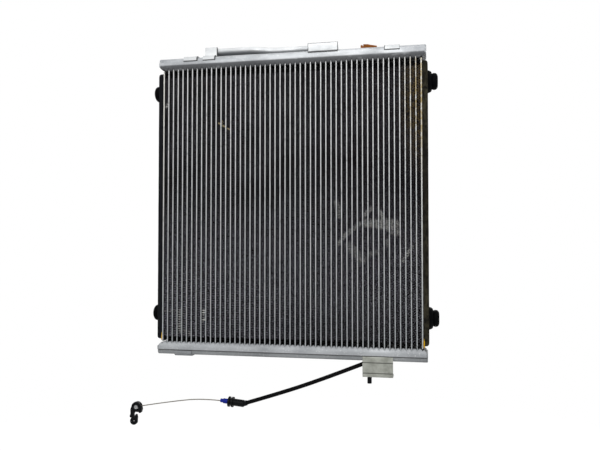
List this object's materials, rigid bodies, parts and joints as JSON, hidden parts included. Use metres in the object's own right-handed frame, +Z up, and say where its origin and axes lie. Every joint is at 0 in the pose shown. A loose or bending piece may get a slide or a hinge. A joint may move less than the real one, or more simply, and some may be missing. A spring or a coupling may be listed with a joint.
{
  "type": "hydraulic oil cooler",
  "caption": "Flat-tube oil cooler core between two header tanks, with side isolators, foam edge strips, top pipe and a hanging release cable.",
  "frame": {"origin": "centre of the rectangle of the four rubber isolators seen from the front, at mid depth of the core; their own axes lie 10 mm behind it", "axes": "+Z up along the tubes, +X to the right seen from the front, the front face looks along -Y"},
  "size_m": [0.4914, 0.0653, 0.6073],
  "materials": {
    "brazed_aluminium": "brazed, matte",
    "tube_aluminium": "brazed, dull",
    "fin_black": "black coated, dirty",
    "bracket_aluminium": "extruded, satin",
    "black_rubber": "moulded",
    "strip_foam_black": "foam tape, dusty",
    "foam_yellow": "foam, stained",
    "orange_plastic": "soft moulded",
    "black_plastic": "moulded",
    "blue_plastic": "moulded",
    "steel_wire": "stranded",
    "zinc": "die cast",
    "plated_steel": "zinc plated"
  },
  "bodies": {
    "cooler": {"flat_tubes": "tube_aluminium", "fins": "fin_black", "side_plate_left": "brazed_aluminium", "side_plate_right": "brazed_aluminium", "header_plate_top": "brazed_aluminium", "header_plate_bottom": "brazed_aluminium", "tank_top": "brazed_aluminium", "tank_bottom": "brazed_aluminium", "end_caps_top": "brazed_aluminium", "end_caps_bottom": "brazed_aluminium", "pass_baffle": "brazed_aluminium", "saddle_clip_left": "bracket_aluminium", "saddle_clip_right": "bracket_aluminium", "saddle_clip_bottom": "bracket_aluminium", "pipe_bracket": "bracket_aluminium", "centre_bracket": "bracket_aluminium", "cable_bracket": "bracket_aluminium", "foam_backing_left": "foam_yellow", "foam_backing_right": "foam_yellow", "edge_strip_left": "strip_foam_black", "edge_strip_right": "strip_foam_black", "isolator_standoffs": "plated_steel", "isolators": "black_rubber", "outlet_block": "brazed_aluminium", "outlet_pipe": "brazed_aluminium", "outlet_fitting": "brazed_aluminium", "inlet_boss": "brazed_aluminium", "cable_anchor": "black_plastic", "cable_conduit": "black_rubber", "cable_end_fitting": "black_plastic", "cable_collar": "blue_plastic"},
    "cable_inner": {"inner_wire": "steel_wire", "wire_nipple": "zinc"},
    "hook_clip": {"cable_hook": "black_plastic"},
    "outlet_transit_cap": {"outlet_cap": "orange_plastic"},
    "inlet_transit_plug": {"inlet_plug": "orange_plastic"}
  },
  "joints": [
    {"name": "cable_inner_travel", "type": "slide", "parent": "cooler", "child": "cable_inner", "axis": [-0.9962, 0, 0.0872], "range_m": [0, 0.02]},
    {"name": "hook_swing", "type": "hinge", "parent": "cable_inner", "child": "hook_clip", "pos_m": [-0.24918, -0.0124, -0.32949], "axis": [0, 1, 0], "range_deg": [-20, 20]},
    {"name": "outlet_cap_pull", "type": "slide", "parent": "cooler", "child": "outlet_transit_cap", "axis": [1, 0, 0], "range_m": [0, 0.025]},
    {"name": "inlet_plug_pull", "type": "slide", "parent": "cooler", "child": "inlet_transit_plug", "axis": [0, 1, 0], "range_m": [0, 0.025]}
  ]
}
